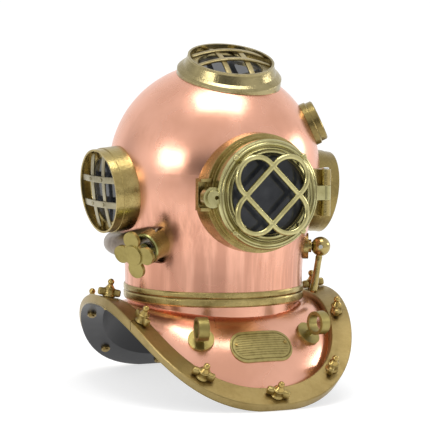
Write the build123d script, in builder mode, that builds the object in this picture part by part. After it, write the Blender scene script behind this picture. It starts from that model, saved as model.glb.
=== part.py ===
from build123d import *
from math import atan2, cos, degrees, hypot, radians, sin, sqrt
import os

os.makedirs("parts", exist_ok=True)

# A copper and brass diving helmet: a bonnet with four viewports that turns on a breastplate.
# +Z is up, the helmet faces -Y and the diver's left is +X. The origin lies on the floor,
# under the bonnet's axis. All lengths are millimetres and all angles are degrees.

# Sheet metal and clearances
sheet = 2.0              # copper sheet of bonnet and breastplate
turning_gap = 0.3        # between faces that turn or slide past each other
pin_gap = 0.05           # running fit of a pin in its bore
overrun = 10.0           # cutters run past the metal by this much

# Bonnet
dome_radius = 138.0
dome_z = 288.0           # height of the dome's centre
waist_radius = 119.5
waist_z = 187.0          # where the bell-shaped wall stops narrowing fast
bonnet_neck_radius = 116.6

# Neck rings
ring_radius = 118.5
lower_ring_z = 118.8     # underside of the breastplate's ring
split_z = 129.2          # the joint between the two rings
upper_ring_z = 137.8     # top of the bonnet's ring
collar_radius = 113.0    # outside of the copper collar below the rings

# Breastplate rim, as the lower outer edge of its copper sheet
rim_half_width = 165.3
rim_half_depth = 198.6
rim_power = 2.27         # 2 would be an ellipse
rim_mean_z = 51.9
rim_swing = 58.15        # shoulders up, chest and back down
rim_flatten = 5.4
crease_mean_z = 110.0    # foot of the collar
crease_swing = 4.5

# Brails, the brass straps that clamp the suit's collar to the rim
brail_width = 30.0
brail_thickness = 10.0
brail_slope = 20.0       # mean fall of the strap towards its outer edge, in degrees
brail_slope_swing = 24.0
brail_slope_flatten = 6.5

# Front port and its door
door_z = 265.3
door_face_y = 167.8      # distance of the door's face in front of the bonnet's axis
door_radius = 69.0
door_thickness = 17.5
door_opening = 49.5      # radius of the glass that shows

# Side ports, hand set on the bonnet, so the two stand a little differently
side_radius = 54.8
right_port_centre = (-162.9, 0, 261.4)
right_port_turn = 184.0  # degrees about the bonnet's axis: this one looks a little forward
right_port_drop = 6.0    # degrees
left_port_centre = (156.5, -8.0, 254.5)
left_port_turn = -5.0    # degrees
left_port_drop = 8.0     # degrees

# Top port
top_centre = (4.0, -41.0, 432.0)
top_tilt = 20.4          # degrees
top_turn = 264.0         # degrees, the way that it tilts
top_rim_radius = 56.3
top_foot_radius = 68.0


def polar(radius, angle, height):
    """Point at a radius and an angle about the bonnet's axis."""
    return Vector(radius * cos(radians(angle)), radius * sin(radians(angle)), height)


def turned(place, outline):
    """Revolve an outline of (radius, height) points about a plane's own axis."""
    section = Plane(origin=place.origin, x_dir=place.x_dir, z_dir=-place.y_dir)
    with BuildSketch(section) as profile:
        with BuildLine():
            Polyline(*outline, close=True)
        make_face()
    revolve(profile.sketch, axis=Axis(place.origin, place.z_dir))


def disc(place, radius, low, high, mode=Mode.ADD):
    """Round plug or cutter along a plane's axis, between two heights."""
    with BuildSketch(place.offset(low)) as profile:
        Circle(radius)
    extrude(profile.sketch, amount=high - low, mode=mode)


# Planes on which the fittings stand, each with its z axis pointing away from the bonnet
front = Plane(origin=(0, 0, door_z), x_dir=(1, 0, 0), z_dir=(0, -1, 0))


def side_plane(centre, turn, drop):
    """Rim plane of a side port that looks out along a turn about Z and is tipped down by a drop."""
    outward = polar(cos(radians(drop)), turn, -sin(radians(drop)))
    return Plane(origin=centre, x_dir=polar(1, turn + 90, 0), z_dir=outward)


right_port = side_plane(right_port_centre, right_port_turn, right_port_drop)
left_port = side_plane(left_port_centre, left_port_turn, left_port_drop)
top = Plane(origin=top_centre, x_dir=polar(1, top_turn + 90, 0),
            z_dir=polar(sin(radians(top_tilt)), top_turn, cos(radians(top_tilt))))


def radial_fitting(radius, angle, height, drop=0):
    """Plane on the bonnet's wall, facing outward and tipped down by drop degrees."""
    outward = polar(cos(radians(drop)), angle, -sin(radians(drop)))
    across = polar(1, angle + 90, 0)
    return Plane(origin=polar(radius, angle, height), x_dir=across, z_dir=outward)


# Solid of the bonnet's outside, used to seat fittings on its curved wall

def dome_face(inset):
    """Half section of the bonnet, drawn inward from its outside by an inset."""
    with BuildSketch(Plane.XZ) as profile:
        with BuildLine():
            crown = CenterArc((0, dome_z), dome_radius - inset, 0, 90)
            bell = Spline(crown @ 0, (waist_radius - inset, waist_z),
                          (bonnet_neck_radius - inset, split_z),
                          tangents=[(0, -1), (0, -1)])
            Polyline(bell @ 1, (0, split_z), crown @ 1)
        make_face()
    revolve(profile.sketch, axis=Axis.Z)


with BuildPart() as dome_core:
    dome_face(0)

with BuildPart() as dome_hollow:
    dome_face(sheet)

# Front port frame: a stepped drum on the dome, with two hinge knuckles and a latch keeper

door_back = door_face_y - door_thickness
frame_face = door_back - turning_gap
drum_base_radius = 78.5
drum_front_radius = 75.0
drum_step = 7.0          # length of the narrower lip behind the door
lip_radius = 71.0
drum_bore = 63.0
frame_flange = 10.0
drum_root = 80.0         # inside the dome, cut away by it

seal_inner = 55.0
seal_outer = 61.0
seal_groove = 2.5
seal_proud = 0.2

hinge_x = 83.5
hinge_forward = 156.0    # hinge axis in front of the bonnet's axis
knuckle_radius = 6.6
arm_half_height = 9.0
knuckle_height = 20.0
pin_radius = 2.6
pin_head_radius = 4.4
pin_head_height = 2.5
bracket_root = 63.5      # inner end of each knuckle's bracket, from the port's axis
bracket_depth = 17.0     # bracket's depth behind the door

keeper_width = 16.0
keeper_half_height = 20.0
keeper_reach = 84.5      # outer edge, from the port's axis
keeper_face = 139.5
keeper_root = 131.0
ledge_thickness = 4.0
ledge_depth = 9.0

knuckle_low = arm_half_height + turning_gap
knuckle_high = knuckle_low + knuckle_height
hinge_axis_plane = Plane(origin=(hinge_x, -hinge_forward, door_z))

with BuildPart() as front_port_frame:
    turned(front, [
        (drum_bore, drum_root), (drum_base_radius, drum_root),
        (drum_front_radius, frame_face - drum_step), (lip_radius, frame_face - drum_step),
        (lip_radius, frame_face), (seal_outer, frame_face), (seal_outer, frame_face - seal_groove),
        (seal_inner, frame_face - seal_groove), (seal_inner, frame_face), (door_opening, frame_face),
        (door_opening, frame_face - frame_flange), (drum_bore, frame_face - frame_flange)])
    for low in (knuckle_low, -knuckle_high):
        bracket_face = hinge_forward - frame_face
        with BuildSketch(hinge_axis_plane.offset(low)):
            Circle(knuckle_radius)
            Rectangle(2 * knuckle_radius, bracket_face, align=(Align.CENTER, Align.MIN))
            with Locations((bracket_root - hinge_x, bracket_face)):
                Rectangle(hinge_x - bracket_root + knuckle_radius, bracket_depth,
                          align=(Align.MIN, Align.MIN))
        extrude(amount=knuckle_height)
    disc(hinge_axis_plane, pin_radius, -knuckle_high - overrun, knuckle_high + overrun, Mode.SUBTRACT)
    disc(front, drum_bore, drum_root - overrun, frame_face - frame_flange, Mode.SUBTRACT)
    add(dome_core.part, mode=Mode.SUBTRACT)
front_port_frame.part.label = "front_port_frame"
export_step(front_port_frame.part, "parts/front_port_frame.step")

with BuildPart() as door_seal:
    turned(front, [
        (seal_inner, frame_face - seal_groove), (seal_outer, frame_face - seal_groove),
        (seal_outer, frame_face + seal_proud), (seal_inner, frame_face + seal_proud)])
door_seal.part.label = "door_seal"
export_step(door_seal.part, "parts/door_seal.step")

with BuildPart() as hinge_pin:
    disc(hinge_axis_plane, pin_radius, -knuckle_high, knuckle_high)
    disc(hinge_axis_plane, pin_head_radius, knuckle_high, knuckle_high + pin_head_height)
    fillet(hinge_pin.edges().group_by(Axis.Z)[-1], pin_head_height / 2)
hinge_pin.part.label = "hinge_pin"
export_step(hinge_pin.part, "parts/hinge_pin.step")

with BuildPart() as latch_keeper:
    keeper_side = front.offset(keeper_root)
    with BuildSketch(keeper_side):
        with Locations((-keeper_reach, 0)):
            Rectangle(keeper_width, 2 * keeper_half_height, align=(Align.MIN, Align.CENTER))
    extrude(amount=keeper_face - keeper_root)
    with BuildSketch(front.offset(keeper_face)):
        for end in (-1, 1):
            with Locations((-keeper_reach, end * (keeper_half_height - ledge_thickness / 2))):
                Rectangle(keeper_width, ledge_thickness, align=(Align.MIN, Align.CENTER))
    extrude(amount=ledge_depth)
    add(front_port_frame.part, mode=Mode.SUBTRACT)
    disc(front, drum_bore + overrun, drum_root, frame_face, Mode.SUBTRACT)
    add(dome_core.part, mode=Mode.SUBTRACT)
latch_keeper.part.label = "latch_keeper"
export_step(latch_keeper.part, "parts/latch_keeper.step")

# Door: ring with hinge arm and latch tongue, glass on a gasket, bezel, wire guard and screws

bezel_radius = 59.5
bezel_depth = 8.0
bezel_proud = 1.6
glass_radius = 56.0
glass_thickness = 7.0
glass_gasket = 1.5
door_edge = 4.5          # rounding of the door's outer edge
arm_thickness = 12.0
tongue_x = 74.0
tongue_drop = 2.5
tongue_radius = 13.0
tongue_thickness = 11.0
tongue_hole = 2.6
tongue_hole_shift = 3.6
tongue_boss_radius = 9.0
tongue_boss_height = 3.0
guard_half_width = 25.5
guard_half_length = 31.0
guard_rod = 3.6          # radius of the guard's rod
guard_stand_off = 8.2    # rod's centre line in front of the door's face
guard_foot_share = 0.985 # place of a foot, as a share of the guard's reach
screw_circle = 65.3
screw_head = 4.0
screw_head_height = 3.0
screw_shank = 2.0
screw_length = 9.0

guard_reach = guard_half_length + guard_half_width
foot_reach = guard_foot_share * guard_reach
glass_front = door_face_y - bezel_depth
glass_back = glass_front - glass_thickness
gasket_back = glass_back - glass_gasket
tongue_place = front.offset(door_back)

with BuildPart() as door_ring:
    turned(front, [
        (door_opening, door_back), (door_radius, door_back), (door_radius, door_face_y - door_edge),
        (door_radius - door_edge / 3, door_face_y - door_edge / 3),
        (door_radius - door_edge, door_face_y), (bezel_radius, door_face_y),
        (bezel_radius, glass_front), (glass_radius, glass_front), (glass_radius, gasket_back),
        (door_opening, gasket_back)])
    arm_root = glass_radius + (door_radius - glass_radius) / 2
    with BuildSketch(hinge_axis_plane.offset(-arm_half_height)):
        Circle(knuckle_radius)
        with Locations((arm_root - hinge_x, knuckle_radius - turning_gap)):
            Rectangle(hinge_x - arm_root, arm_thickness, align=(Align.MIN, Align.MAX))
    extrude(amount=2 * arm_half_height)
    disc(hinge_axis_plane, pin_radius + pin_gap, -knuckle_high, knuckle_high, Mode.SUBTRACT)
    with BuildSketch(tongue_place):
        with Locations((-tongue_x, -tongue_drop)):
            Circle(tongue_radius)
            Rectangle(tongue_x - arm_root, 1.1 * tongue_radius, align=(Align.MIN, Align.CENTER))
    extrude(amount=tongue_thickness)
    with BuildSketch(tongue_place.offset(tongue_thickness)):
        with Locations((-tongue_x, -tongue_drop)):
            Circle(tongue_boss_radius)
    extrude(amount=tongue_boss_height)
    with BuildSketch(tongue_place):
        with Locations((tongue_hole_shift - tongue_x, -tongue_drop)):
            Circle(tongue_hole)
    extrude(amount=tongue_thickness + tongue_boss_height, mode=Mode.SUBTRACT)
    with BuildSketch(front.offset(door_face_y - screw_length)):
        with PolarLocations(screw_circle, 4, 45):
            Circle(screw_shank)
    extrude(amount=screw_length, mode=Mode.SUBTRACT)
    behind_arm = Plane(origin=(0, -door_back, door_z), x_dir=(1, 0, 0), z_dir=(0, 1, 0))
    with BuildSketch(behind_arm):
        Rectangle(2 * (hinge_x - knuckle_radius), 2 * arm_half_height)
    extrude(amount=arm_thickness, mode=Mode.SUBTRACT)
door_ring.part.label = "door_ring"
export_step(door_ring.part, "parts/door_ring.step")

with BuildPart() as door_glass_gasket:
    turned(front, [
        (door_opening, gasket_back), (glass_radius, gasket_back), (glass_radius, glass_back),
        (door_opening, glass_back)])
door_glass_gasket.part.label = "door_glass_gasket"
export_step(door_glass_gasket.part, "parts/door_glass_gasket.step")

with BuildPart() as door_glass:
    disc(front, glass_radius, glass_back, glass_front)
door_glass.part.label = "door_glass"
export_step(door_glass.part, "parts/door_glass.step")

with BuildPart() as door_bezel:
    bezel_face = door_face_y + bezel_proud
    turned(front, [
        (door_opening, glass_front), (bezel_radius, glass_front), (bezel_radius, door_face_y),
        (bezel_radius - bezel_proud, bezel_face), (door_opening + 2 * bezel_proud, bezel_face),
        (door_opening, door_face_y - bezel_proud)])
door_bezel.part.label = "door_bezel"
export_step(door_bezel.part, "parts/door_bezel.step")

with BuildPart() as door_guard:
    for turn in (45, -45):
        across = (cos(radians(turn)), 0, sin(radians(turn)))
        guard_plane = Plane(origin=(0, -door_face_y - guard_stand_off, door_z), x_dir=across,
                            z_dir=(0, -1, 0))
        with BuildLine(guard_plane) as loop:
            near_side = Line((-guard_half_length, guard_half_width),
                             (guard_half_length, guard_half_width))
            ThreePointArc(near_side @ 1, (guard_reach, 0), (guard_half_length, -guard_half_width))
            far_side = Line((guard_half_length, -guard_half_width),
                            (-guard_half_length, -guard_half_width))
            ThreePointArc(far_side @ 1, (-guard_reach, 0), near_side @ 0)
        with BuildSketch(Plane(origin=near_side @ 0.5, z_dir=near_side % 0.5)):
            Circle(guard_rod)
        sweep()
    with BuildSketch(front.offset(door_face_y + bezel_proud)):
        with PolarLocations(foot_reach, 4, 45):
            Circle(guard_rod)
    extrude(amount=guard_stand_off - bezel_proud)
door_guard.part.label = "door_guard"
export_step(door_guard.part, "parts/door_guard.step")

with BuildPart() as guard_screws:
    with BuildSketch(front.offset(door_face_y - screw_length)):
        with PolarLocations(screw_circle, 4, 45):
            Circle(screw_shank)
    extrude(amount=screw_length)
    with BuildSketch(front.offset(door_face_y)):
        with PolarLocations(screw_circle, 4, 45):
            Circle(screw_head)
    extrude(amount=screw_head_height)
    fillet(guard_screws.edges().group_by(Axis.Y)[0], 0.8 * screw_head_height)
guard_screws.part.label = "guard_screws"
export_step(guard_screws.part, "parts/guard_screws.step")

# Fixed ports: each has a frame, a gasket, a glass, a retaining ring and a ribbed guard

recess_depth = 9.0       # from the rim's plane down to the retaining ring
retainer_thickness = 4.0
port_glass_thickness = 6.0
port_gasket = 1.5
port_opening = 41.0
port_bore = 44.0
port_glass_radius = 47.0
side_recess = 51.6
top_recess = 53.4
side_step_length = 11.0
side_step = 0.7
port_root = 75.0         # frames start this far behind the rim and are cut by the dome
rib_width = 6.0
rib_spacing = 32.0
rib_crown = 3.6          # rib's crest above the rim's plane
rib_depth = 10.5
rib_shoulder = 5.0       # rib's outer corner below the rim's plane
rib_gap = 0.3

retainer_front = -recess_depth
retainer_back = retainer_front - retainer_thickness
port_glass_front = retainer_back
port_glass_back = port_glass_front - port_glass_thickness
port_gasket_back = port_glass_back - port_gasket

top_neck_share = 0.62    # waist of the top frame's flare, as a share of its height
top_bead_share = 0.26
top_height = 22.0
top_spigot_radius = 50.0 # part of the frame that passes through the dome
top_spigot_root = 26.0

side_outline = [
    (port_bore, -port_root), (side_radius, -port_root), (side_radius, -side_step_length),
    (side_radius - side_step, -side_step_length), (side_radius - side_step, 0),
    (side_recess, 0), (side_recess, port_glass_front), (port_glass_radius, port_glass_front),
    (port_glass_radius, port_gasket_back), (port_opening, port_gasket_back),
    (port_opening, port_gasket_back - port_gasket), (port_bore, port_gasket_back - 2 * port_gasket)]
top_flare = top_foot_radius - top_rim_radius
top_outline = [
    (port_bore, -top_spigot_root), (top_spigot_radius, -top_spigot_root),
    (top_spigot_radius, -port_root), (top_foot_radius, -port_root),
    (top_foot_radius, -(1 - top_bead_share) * top_height - top_flare / 4),
    (top_foot_radius - top_flare / 4, -(1 - top_bead_share) * top_height),
    (top_rim_radius + 0.36 * top_flare, -top_neck_share * top_height),
    (top_rim_radius + 0.12 * top_flare, -top_neck_share * top_height / 2),
    (top_rim_radius, -top_flare / 4), (top_rim_radius, 0),
    (top_recess, 0), (top_recess, port_glass_front), (port_glass_radius, port_glass_front),
    (port_glass_radius, port_gasket_back), (port_opening, port_gasket_back),
    (port_opening, port_gasket_back - port_gasket), (port_bore, port_gasket_back - 2 * port_gasket)]

with BuildPart() as top_seat:
    add(dome_core.part)
    disc(top, top_spigot_radius, -port_root - overrun, overrun, Mode.SUBTRACT)

fixed_ports = (
    ("right_port", right_port, side_outline, side_recess, dome_core.part),
    ("left_port", left_port, side_outline, side_recess, dome_core.part),
    ("top_port", top, top_outline, top_recess, top_seat.part))

for port_name, port_plane, frame_outline, recess, seat in fixed_ports:
    with BuildPart() as port_frame:
        turned(port_plane, frame_outline)
        add(seat, mode=Mode.SUBTRACT)
    port_frame.part.label = f"{port_name}_frame"
    export_step(port_frame.part, f"parts/{port_name}_frame.step")

    with BuildPart() as port_seal:
        turned(port_plane, [
            (port_opening, port_gasket_back), (port_glass_radius, port_gasket_back),
            (port_glass_radius, port_glass_back), (port_opening, port_glass_back)])
    port_seal.part.label = f"{port_name}_gasket"
    export_step(port_seal.part, f"parts/{port_name}_gasket.step")

    with BuildPart() as port_glass:
        disc(port_plane, port_glass_radius, port_glass_back, port_glass_front)
    port_glass.part.label = f"{port_name}_glass"
    export_step(port_glass.part, f"parts/{port_name}_glass.step")

    with BuildPart() as port_retainer:
        turned(port_plane, [
            (port_opening, retainer_back), (recess, retainer_back), (recess, retainer_front),
            (port_opening + port_gasket, retainer_front),
            (port_opening, retainer_front - port_gasket)])
    port_retainer.part.label = f"{port_name}_retainer"
    export_step(port_retainer.part, f"parts/{port_name}_retainer.step")

    with BuildPart() as port_guard:
        offset_y = rib_spacing / 2
        half_span = sqrt(recess ** 2 - (offset_y + rib_width / 2) ** 2) - rib_gap
        for along, across in ((port_plane.x_dir, port_plane.y_dir),
                              (port_plane.y_dir, -port_plane.x_dir)):
            for side in (-1, 1):
                rib_plane = Plane(origin=port_plane.origin + across * side * offset_y,
                                  x_dir=along, z_dir=-across)
                with BuildSketch(rib_plane):
                    with BuildLine():
                        ThreePointArc((-half_span, -rib_shoulder), (0, rib_crown),
                                      (half_span, -rib_shoulder))
                        Line((half_span, -rib_shoulder), (half_span, retainer_front))
                        ThreePointArc((half_span, retainer_front), (0, rib_crown - rib_depth),
                                      (-half_span, retainer_front))
                        Line((-half_span, retainer_front), (-half_span, -rib_shoulder))
                    make_face()
                extrude(amount=rib_width / 2, both=True)
    port_guard.part.label = f"{port_name}_guard"
    export_step(port_guard.part, f"parts/{port_name}_guard.step")

# Exhaust valve, low on the diver's right: body, duct to the back, disc, spring, stem, handwheel

exhaust_angle = 208.8    # degrees about the bonnet's axis
exhaust_z = 199.5
exhaust_drop = 15.5      # degrees
exhaust_radius = 20.5
exhaust_length = 27.0    # out of the bonnet's wall
exhaust_recess_radius = 17.0
exhaust_recess = 19.0
exhaust_seat = 9.0
exhaust_root = 20.0      # start behind the wall, cut away by the dome
exhaust_window = 7.0
stem_radius = 4.6
stem_reach = 50.0        # end of the stem, out of the bonnet's wall
spider_radius = 7.5
spider_thickness = 3.0
valve_disc_radius = 12.5
valve_disc_thickness = 2.5
spring_wire = 0.6
spring_radius = 7.5
spring_turns = 4
wheel_thickness = 5.0
wheel_body_radius = 15.5
wheel_boss_radius = 13.0
wheel_boss = 2.0
wheel_lobe_radius = 11.5
wheel_lobe_circle = 19.0
duct_z = 185.0
duct_half_height = 23.0
duct_depth = 26.0
duct_wall = 1.6
duct_start = 218.0       # degrees
duct_end = 122.0         # degrees
duct_shoulder_share = 0.74
duct_bottom_share = 0.86 # lower half of the duct's section, as a share of the upper

exhaust = radial_fitting(waist_radius, exhaust_angle, exhaust_z, exhaust_drop)
seat_height = exhaust_length - exhaust_recess
disc_height = seat_height + turning_gap
disc_top = disc_height + valve_disc_thickness
spider_low = exhaust_length - spider_thickness - turning_gap

with BuildPart() as exhaust_body:
    turned(exhaust, [
        (exhaust_seat, -exhaust_root), (exhaust_radius, -exhaust_root),
        (exhaust_radius, exhaust_length - sheet), (exhaust_radius - sheet / 2, exhaust_length),
        (exhaust_recess_radius, exhaust_length), (exhaust_recess_radius, seat_height),
        (exhaust_seat, seat_height)])
    with BuildSketch(exhaust.offset(spider_low)):
        with BuildSketch(mode=Mode.PRIVATE) as bars:
            Rectangle(2 * exhaust_recess_radius + sheet, stem_radius)
        Circle(spider_radius)
        add(bars.sketch)
    extrude(amount=spider_thickness)
    disc(exhaust, stem_radius + pin_gap, spider_low, exhaust_length, Mode.SUBTRACT)
    window_plane = Plane(origin=exhaust.origin + exhaust.z_dir * (exhaust_length + seat_height) / 2,
                         x_dir=exhaust.z_dir, z_dir=-exhaust.x_dir)
    disc(window_plane, exhaust_window, exhaust_seat, exhaust_radius + overrun, Mode.SUBTRACT)
    add(dome_core.part, mode=Mode.SUBTRACT)
exhaust_body.part.label = "exhaust_body"
export_step(exhaust_body.part, "parts/exhaust_body.step")


def duct_section(inset):
    """Rounded section of the exhaust duct beside the bonnet's wall, drawn inward by an inset."""
    height = duct_half_height - inset
    depth = duct_depth + duct_wall - inset
    bottom = duct_bottom_share * height
    wall = waist_radius - duct_wall
    with BuildSketch(Plane.XZ.rotated((0, 0, duct_end))) as section:
        with BuildLine():
            outside = Spline(
                (wall, duct_z + height),
                (wall + duct_shoulder_share * depth, duct_z + duct_shoulder_share * height),
                (wall + depth, duct_z),
                (wall + duct_shoulder_share * depth, duct_z - duct_shoulder_share * bottom),
                (wall, duct_z - bottom), tangents=[(1, 0), (-1, 0)])
            Polyline(outside @ 1, (wall - overrun, duct_z - bottom),
                     (wall - overrun, duct_z + height), outside @ 0)
        make_face()
    return section.sketch


duct_turn = duct_start - duct_end

with BuildPart() as exhaust_duct:
    add(duct_section(0))
    revolve(axis=Axis.Z, revolution_arc=duct_turn)
    add(duct_section(duct_wall))
    revolve(axis=Axis.Z, revolution_arc=duct_turn, mode=Mode.SUBTRACT)
    add(dome_core.part, mode=Mode.SUBTRACT)
    disc(exhaust, exhaust_radius, -exhaust_root, exhaust_length + overrun, Mode.SUBTRACT)
exhaust_duct.part.label = "exhaust_duct"
export_step(exhaust_duct.part, "parts/exhaust_duct.step")

with BuildPart() as exhaust_disc:
    disc(exhaust, valve_disc_radius, disc_height, disc_top)
    disc(exhaust, stem_radius + turning_gap, disc_height, disc_top, Mode.SUBTRACT)
exhaust_disc.part.label = "exhaust_disc"
export_step(exhaust_disc.part, "parts/exhaust_disc.step")

with BuildPart() as exhaust_spring:
    spring_low = disc_top + turning_gap + spring_wire
    spring_length = spider_low - turning_gap - spring_wire - spring_low
    with BuildLine():
        coil = Helix(spring_length / spring_turns, spring_length, spring_radius,
                     center=exhaust.offset(spring_low).origin, direction=exhaust.z_dir)
    with BuildSketch(Plane(origin=coil @ 0, z_dir=coil % 0)):
        Circle(spring_wire)
    sweep()
exhaust_spring.part.label = "exhaust_spring"
export_step(exhaust_spring.part, "parts/exhaust_spring.step")

wheel_low = stem_reach - wheel_thickness

with BuildPart() as exhaust_stem:
    disc(exhaust, stem_radius, seat_height - exhaust_seat, wheel_low)
exhaust_stem.part.label = "exhaust_stem"
export_step(exhaust_stem.part, "parts/exhaust_stem.step")

with BuildPart() as exhaust_wheel:
    with BuildSketch(exhaust.offset(wheel_low)):
        Circle(wheel_body_radius)
        with PolarLocations(wheel_lobe_circle, 4, 0):
            Circle(wheel_lobe_radius)
    extrude(amount=wheel_thickness)
    disc(exhaust, wheel_boss_radius, stem_reach, stem_reach + wheel_boss)
exhaust_wheel.part.label = "exhaust_wheel"
export_step(exhaust_wheel.part, "parts/exhaust_wheel.step")

# Spitcock, low on the diver's left: flanged gland, and a spindle with a ball and hanging lever

spitcock_angle = -25.5   # degrees
spitcock_z = 187.0
cock_flange_radius = 17.0
cock_flange_thickness = 5.0
cock_neck_radius = 8.5
cock_neck_length = 4.0
spindle_radius = 5.0
spindle_root = 14.0
spindle_collar = 7.5
ball_distance = 21.0     # ball's centre out of the bonnet's wall
ball_radius = 12.0
lever_length = 61.0
lever_radius = 3.5
lever_lean = 6.5         # degrees towards the bonnet
lever_tip = 4.2
set_screw_radius = 2.6
set_screw_height = 1.5

spitcock = radial_fitting(waist_radius, spitcock_angle, spitcock_z)

with BuildPart() as spitcock_body:
    disc(spitcock, cock_flange_radius, -spindle_root, cock_flange_thickness)
    disc(spitcock, cock_neck_radius, cock_flange_thickness, cock_flange_thickness + cock_neck_length)
    add(dome_core.part, mode=Mode.SUBTRACT)
    disc(spitcock, spindle_radius + pin_gap, -spindle_root, ball_distance, Mode.SUBTRACT)
spitcock_body.part.label = "spitcock_body"
export_step(spitcock_body.part, "parts/spitcock_body.step")

lever_down = Vector(0, 0, -1).rotate(Axis((0, 0, 0), spitcock.x_dir), -lever_lean)
ball_centre = spitcock.origin + spitcock.z_dir * ball_distance
lever_plane = Plane(origin=ball_centre, x_dir=spitcock.x_dir, z_dir=lever_down)

with BuildPart() as spitcock_lever:
    disc(lever_plane, lever_radius, 0, lever_length)
    disc(lever_plane, lever_tip, lever_length - lever_tip, lever_length)
    with Locations(ball_centre):
        Sphere(ball_radius)
    neck_end = cock_flange_thickness + cock_neck_length + turning_gap
    disc(spitcock, ball_radius, -overrun, neck_end, Mode.SUBTRACT)
    disc(spitcock, spindle_radius, -spindle_root, ball_distance, Mode.SUBTRACT)
spitcock_lever.part.label = "spitcock_lever"
export_step(spitcock_lever.part, "parts/spitcock_lever.step")

with BuildPart() as spitcock_spindle:
    disc(spitcock, spindle_radius, -spindle_root, ball_distance)
    disc(spitcock, spindle_collar, -spindle_root, -spindle_root + sheet)
spitcock_spindle.part.label = "spitcock_spindle"
export_step(spitcock_spindle.part, "parts/spitcock_spindle.step")

with BuildPart() as spitcock_set_screw:
    screw_plane = Plane(origin=ball_centre, x_dir=spitcock.z_dir, z_dir=-spitcock.x_dir)
    disc(screw_plane, set_screw_radius, ball_radius - set_screw_height,
         ball_radius + set_screw_height / 2)
    add(spitcock_lever.part, mode=Mode.SUBTRACT)
spitcock_set_screw.part.label = "spitcock_set_screw"
export_step(spitcock_set_screw.part, "parts/spitcock_set_screw.step")

# Telephone cup, high on the diver's left, with a screwed cap

phone_angle = -23.4      # degrees
phone_rise = 25.4        # degrees
cup_radius = 29.0
cup_height = 143.5       # end of the cup, from the dome's centre
cup_bore = 20.0
cup_root = 120.0
cap_radius = 27.0
cap_face = 152.0
cap_edge = 1.5

phone = Plane(origin=(0, 0, dome_z), x_dir=polar(1, phone_angle + 90, 0),
              z_dir=polar(cos(radians(phone_rise)), phone_angle, sin(radians(phone_rise))))

with BuildPart() as phone_cup:
    turned(phone, [
        (cup_bore, cup_root), (cup_radius, cup_root), (cup_radius, cup_height - cap_edge),
        (cup_radius - cap_edge, cup_height), (cup_bore, cup_height)])
    add(dome_core.part, mode=Mode.SUBTRACT)
phone_cup.part.label = "phone_cup"
export_step(phone_cup.part, "parts/phone_cup.step")

with BuildPart() as phone_cap:
    plug_low = cup_height - 3 * cap_edge
    turned(phone, [
        (0, plug_low), (cup_bore, plug_low), (cup_bore, cup_height), (cap_radius, cup_height),
        (cap_radius, cap_face - cap_edge), (cap_radius - cap_edge, cap_face), (0, cap_face)])
phone_cap.part.label = "phone_cap"
export_step(phone_cap.part, "parts/phone_cap.step")

# Elbows at the back for the air hose and the telephone cable, with a check valve in the air line

elbow_angle = 26.0       # degrees either side of the back
elbow_z = 262.0
elbow_flange_radius = 21.0
elbow_flange_height = 6.0
elbow_root = 20.0
elbow_radius = 11.0
elbow_bore = 7.0
elbow_bend = 24.0
elbow_turn = 60.0        # degrees, so that a hose clears the breastplate
elbow_stub = 8.0
thread_radius = 13.0
thread_length = 16.0
valve_hex_radius = 17.0
valve_hex_length = 14.0

for elbow_name, elbow_side in (("air", -1), ("phone", 1)):
    elbow = radial_fitting(dome_radius, 90 - elbow_side * elbow_angle, elbow_z)
    stub_end = elbow.origin + elbow.z_dir * elbow_stub
    bend_end = (stub_end + elbow.z_dir * (elbow_bend * sin(radians(elbow_turn)))
                - Vector(0, 0, elbow_bend * (1 - cos(radians(elbow_turn)))))
    outlet_way = elbow.z_dir * cos(radians(elbow_turn)) - Vector(0, 0, sin(radians(elbow_turn)))
    outlet = Plane(origin=bend_end, x_dir=elbow.x_dir, z_dir=outlet_way)
    bend_axis = Axis(stub_end - Vector(0, 0, elbow_bend), elbow.x_dir)
    with BuildPart() as elbow_part:
        disc(elbow, elbow_flange_radius, -elbow_root, elbow_flange_height)
        disc(elbow, elbow_radius, elbow_flange_height, elbow_stub)
        with BuildSketch(elbow.offset(elbow_stub)):
            Circle(elbow_radius)
        revolve(axis=bend_axis, revolution_arc=elbow_turn)
        disc(outlet, thread_radius, 0, thread_length)
        add(dome_core.part, mode=Mode.SUBTRACT)
        disc(elbow, elbow_bore, -elbow_root, elbow_stub, Mode.SUBTRACT)
        with BuildSketch(elbow.offset(elbow_stub)):
            Circle(elbow_bore)
        revolve(axis=bend_axis, revolution_arc=elbow_turn, mode=Mode.SUBTRACT)
        disc(outlet, elbow_bore, 0, thread_length, Mode.SUBTRACT)
    elbow_part.part.label = f"{elbow_name}_elbow"
    export_step(elbow_part.part, f"parts/{elbow_name}_elbow.step")

    if elbow_name == "air":
        with BuildPart() as air_check_valve:
            with BuildSketch(outlet.offset(thread_length)):
                RegularPolygon(valve_hex_radius, 6)
                Circle(elbow_bore, mode=Mode.SUBTRACT)
            extrude(amount=valve_hex_length)
            low_thread = thread_length + valve_hex_length
            disc(outlet, thread_radius, low_thread, low_thread + thread_length)
            disc(outlet, elbow_bore, thread_length, low_thread + thread_length, Mode.SUBTRACT)
        air_check_valve.part.label = "air_check_valve"
        export_step(air_check_valve.part, "parts/air_check_valve.step")

# Bonnet shell, spun from copper sheet, with a hole under each fitting

hole_start = 60.0        # cutters start this far inside the dome's wall

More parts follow.
